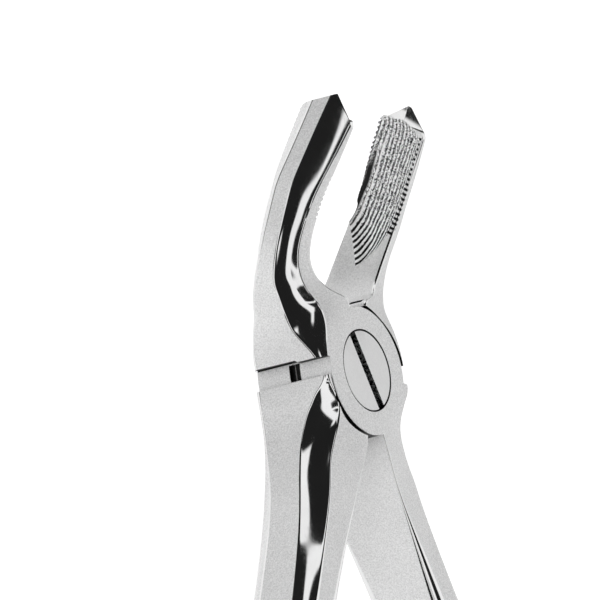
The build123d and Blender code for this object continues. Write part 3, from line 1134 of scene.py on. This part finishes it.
def completeMesh(thing, body, node):
    # millimetres to metres, crisp edges, then normals weighted by face area
    thing.data.transform(Matrix.Scale(0.001, 4))
    shape = bmesh.new()
    shape.from_mesh(thing.data)
    same = 1e-7
    bmesh.ops.remove_doubles(shape, verts=shape.verts, dist=same)
    bmesh.ops.dissolve_degenerate(shape, edges=shape.edges, dist=same)
    shape.to_mesh(thing.data)
    shape.free()
    thing.data.shade_smooth()
    thing.data.set_sharp_from_angle(angle=math.radians(sharpAngle))
    weigh = thing.modifiers.new("weigh", "WEIGHTED_NORMAL")
    weigh.mode = "FACE_AREA"
    weigh.keep_sharp = True
    settle(thing)
    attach(thing, body)
    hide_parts(node)


def makeScrew():
    top, e = joint["height"] - screw["headRecess"], screw["edge"]
    under = joint["height"] - screw["headDepth"] + screw["shankGap"]
    neck = joint["mid"] - joint["plateGap"] / 2
    head, shank, thread, bevel = (screw[name] for name in ("headRadius", "shankRadius", "threadRadius", "endBevel"))
    profile = [
        (0, 0), (thread - bevel, 0), (thread, bevel), (thread, neck), (shank, neck), (shank, under), (head, under),
        *softEdge(head, top, e), (0, top),
    ]
    pin = spun("pivotScrew", profile, screwFace, screw["sides"], screwFinishes)
    # the head's side, seen only in the gap round it, takes painted shade
    for side in pin.data.polygons:
        if under < side.center.z < top - e and side.center.xy.length > head - rimBand:
            side.material_index = screwShade
    # the slot's faces take painted shade with light speckles
    lie = Matrix.Rotation(math.radians(screw["slotTurn"]), 4, "Z")
    half, far, floor = screw["slotWidth"] / 2, 9.0, top - screw["slotDepth"]
    outline = [(-far, -half), (far, -half), (far, half), (-far, half)]
    slot = prism("slotTool", outline, lie, floor, floor + 2, screwShade, screwFinishes)
    return combine(pin, [slot])


completeMesh(upper, "upper", "upper_half")
completeMesh(lower, "lower", "lower_half")
completeMesh(makeScrew(), "lower", "joint_screw")
print("pieces on their bodies")


view = {
    "target": (-0.005464, 0.009893, 0.006172),
    "right": (0.554, -0.135, 0.821),
    "up": (-0.079, 0.974, 0.214),
    "lens": 600.0,
    "sensor": 36.0,
    "frameWidth": 0.07653,  # what the camera sees across at the target
    "clip": (0.01, 20.0),
}


def makeCamera():
    data = bpy.data.cameras.new("camera")
    data.lens, data.sensor_width = view["lens"], view["sensor"]
    data.clip_start, data.clip_end = view["clip"]
    eye = bpy.data.objects.new("camera", data)
    right, up = Vector(view["right"]).normalized(), Vector(view["up"]).normalized()
    back = right.cross(up).normalized()
    up = back.cross(right)
    distance = view["frameWidth"] / view["sensor"] * view["lens"]
    turned = Matrix((right, up, back)).transposed().to_4x4()
    turned.translation = Vector(view["target"]) + back * distance
    eye.matrix_world = turned
    scene.collection.objects.link(eye)
    scene.camera = eye


# dark cards are set out by the angle round the part's length, in degrees from +X over the top,
# and by how far ahead they lie, as the Y of the direction
studio = {
    "floorHalf": 3.0,
    "floorDrop": 0.00002,
    "floorTone": 0.8,
    "floorGlow": 0.62,
    "floorRoughness": 0.9,
    "keyFrom": (-0.75, -0.18, 0.64),
    "keyStrength": 1.42,
    "keySoftness": 70.0,
    "wall": 0.98,
    "dark": 0.015,
    "aheadFrom": (0.46, 0.08),
    "card": (72.0, 168.0),
    "cardMost": 181.0,
    "cardSlant": 55.0,
    "cardSoft": (6.0, 4.0),
    "streak": (110.0, 141.0),
    "streakSoft": (5.0, 6.0),
    "slit": (191.0, 205.0),
    "slitSlant": 45.0,
    "slitSoft": (4.0, 4.0),
    "slitFrom": (-0.36, 0.04),
    "back": (141.0, 232.0),
    "backSoft": (6.0, 8.0),
    "patchSoft": (3.0, 0.03),
}
# angle, place ahead, half width in degrees, half length
patches = [
    (220.5, 0.11, 7.0, 0.08),
    (22.0, 0.56, 20.0, 0.14),
    (186.0, -0.56, 14.0, 0.09),
    (205.0, -0.7, 11.0, 0.22),
    (211.0, 0.38, 21.0, 0.18),
]


def makeFloor():
    half = studio["floorHalf"]
    corners = [(-half, -half, 0), (half, -half, 0), (half, half, 0), (-half, half, 0)]
    floor = meshFrom("floor", corners, [(0, 1, 2, 3)], None, [])
    floor.data.transform(Matrix.Translation((0, 0, -studio["floorDrop"])))
    material = bpy.data.materials.new("paleFloor")
    material.use_nodes = True
    sockets = material.node_tree.nodes["Principled BSDF"].inputs
    tone = studio["floorTone"]
    sockets["Base Color"].default_value = (tone, tone, tone, 1)
    sockets["Roughness"].default_value = studio["floorRoughness"]
    sockets["Emission Color"].default_value = (1, 1, 1, 1)
    sockets["Emission Strength"].default_value = studio["floorGlow"]
    floor.data.materials.append(material)
    floor.visible_glossy = False


def past(value, edge, soft):
    # 0 before the edge and 1 past it, blended over the soft width
    return ((value - edge) * (1 / soft) + 0.5).clamp()


def span(value, low, high, soft):
    # 1 between two edges, each with its own soft width
    return past(value, low, soft[0]) * past(high - value, 0, soft[1])


def makeWorld():
    # a pale room with dark cards, which the polished faces mirror
    world = bpy.data.worlds.new("studio")
    world.use_nodes = True
    scene.world = world
    room = Nodes(world.node_tree)
    x, y, z = room.split(room.add("ShaderNodeTexCoord", out="Generated"))
    turn = z.math("ARCTAN2", z, x) * (180 / math.pi)
    turn = turn.math("MODULO", turn + 360, 360.0)

    ahead = past(y, *studio["aheadFrom"])
    low, high = studio["card"]
    card = span(turn, low, (y * studio["cardSlant"] + high).least(studio["cardMost"]), studio["cardSoft"])
    streak = ahead * span(turn, *studio["streak"], studio["streakSoft"])
    low, high = studio["slit"]
    slit = span(turn, y.least(0.0) * studio["slitSlant"] + low, high, studio["slitSoft"])
    slit = slit * past(y, *studio["slitFrom"])
    back = ahead * span(turn, *studio["back"], studio["backSoft"])
    shade = card * (1 - streak) + slit + back
    acrossSoft, alongSoft = studio["patchSoft"]
    for angle, along, wide, long in patches:
        shade = shade + past(wide - turn.away(angle), 0, acrossSoft) * past(long - y.away(along), 0, alongSoft)
    level = (1 - shade.clamp()) * (studio["wall"] - studio["dark"]) + studio["dark"]
    grey = room.add("ShaderNodeCombineXYZ", X=level, Y=level, Z=level)
    plug(room.tree, room.tree.nodes["Background"].inputs["Color"], grey)


def makeKey():
    # a wide soft light for the satin faces, which the polished ones don't mirror
    data = bpy.data.lights.new("key", "SUN")
    data.energy, data.angle = studio["keyStrength"], math.radians(studio["keySoftness"])
    key = bpy.data.objects.new("key", data)
    key.matrix_world = Vector(studio["keyFrom"]).to_track_quat("Z", "Y").to_matrix().to_4x4()
    key.visible_glossy = False
    scene.collection.objects.link(key)


makeCamera()
makeFloor()
makeWorld()
makeKey()
scene.view_settings.view_transform = "Standard"
print("stage made")
